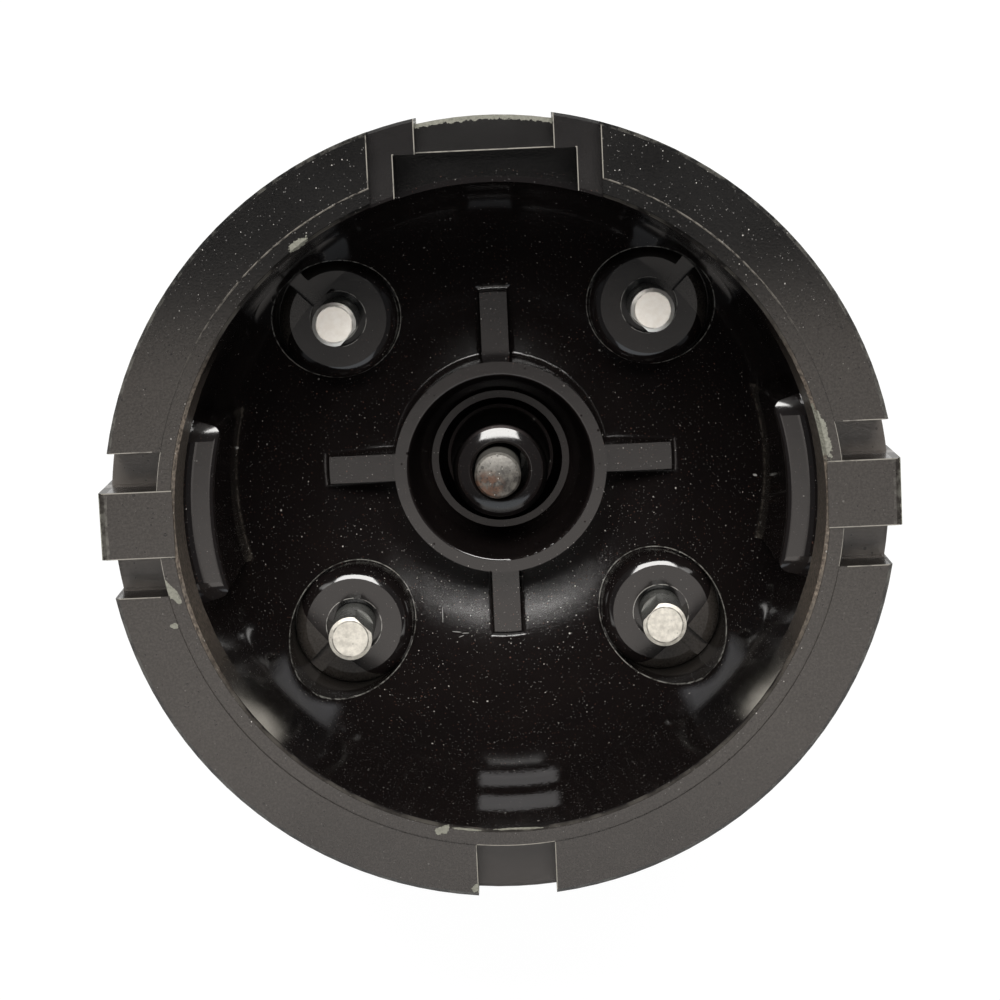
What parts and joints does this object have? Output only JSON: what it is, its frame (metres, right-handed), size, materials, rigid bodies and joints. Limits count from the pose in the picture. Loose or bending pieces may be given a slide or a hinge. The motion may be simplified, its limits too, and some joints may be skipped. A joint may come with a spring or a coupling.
{
  "type": "distributor cap",
  "caption": "Clip-held ignition distributor cap in black moulded plastic, lying mouth up, with aluminium electrode pins and a sprung carbon centre brush.",
  "frame": {"origin": "on the cap's axis, level with the ends of the lead towers that it stands on", "axes": "+Z out of the mouth along the axis, +Y towards the T-shaped slot, +X and -X towards the two clip slots"},
  "size_m": [0.0808, 0.0794, 0.071],
  "materials": {
    "phenolic": "black phenolic moulding, glossy inside, a little grainy on the rim",
    "aluminium": "pale turned aluminium, matt on the pin ends",
    "carbon": "grey carbon, worn and stained on its face",
    "spring_steel": "plain spring wire"
  },
  "bodies": {
    "cap": {"cap_body": "phenolic", "coil_terminal": "aluminium", "brush_spring": "spring_steel", "plug_terminal_1": "aluminium", "plug_terminal_2": "aluminium", "plug_terminal_3": "aluminium", "plug_terminal_4": "aluminium"},
    "brush": {"carbon_brush": "carbon"}
  },
  "joints": [
    {"name": "brush_press", "type": "slide", "parent": "cap", "child": "brush", "axis": [0, 0, 1], "range_m": [-0.0035, 0], "stiffness_N_per_m": 80, "springref_m": 0.004, "deforming": ["brush_spring"]}
  ]
}
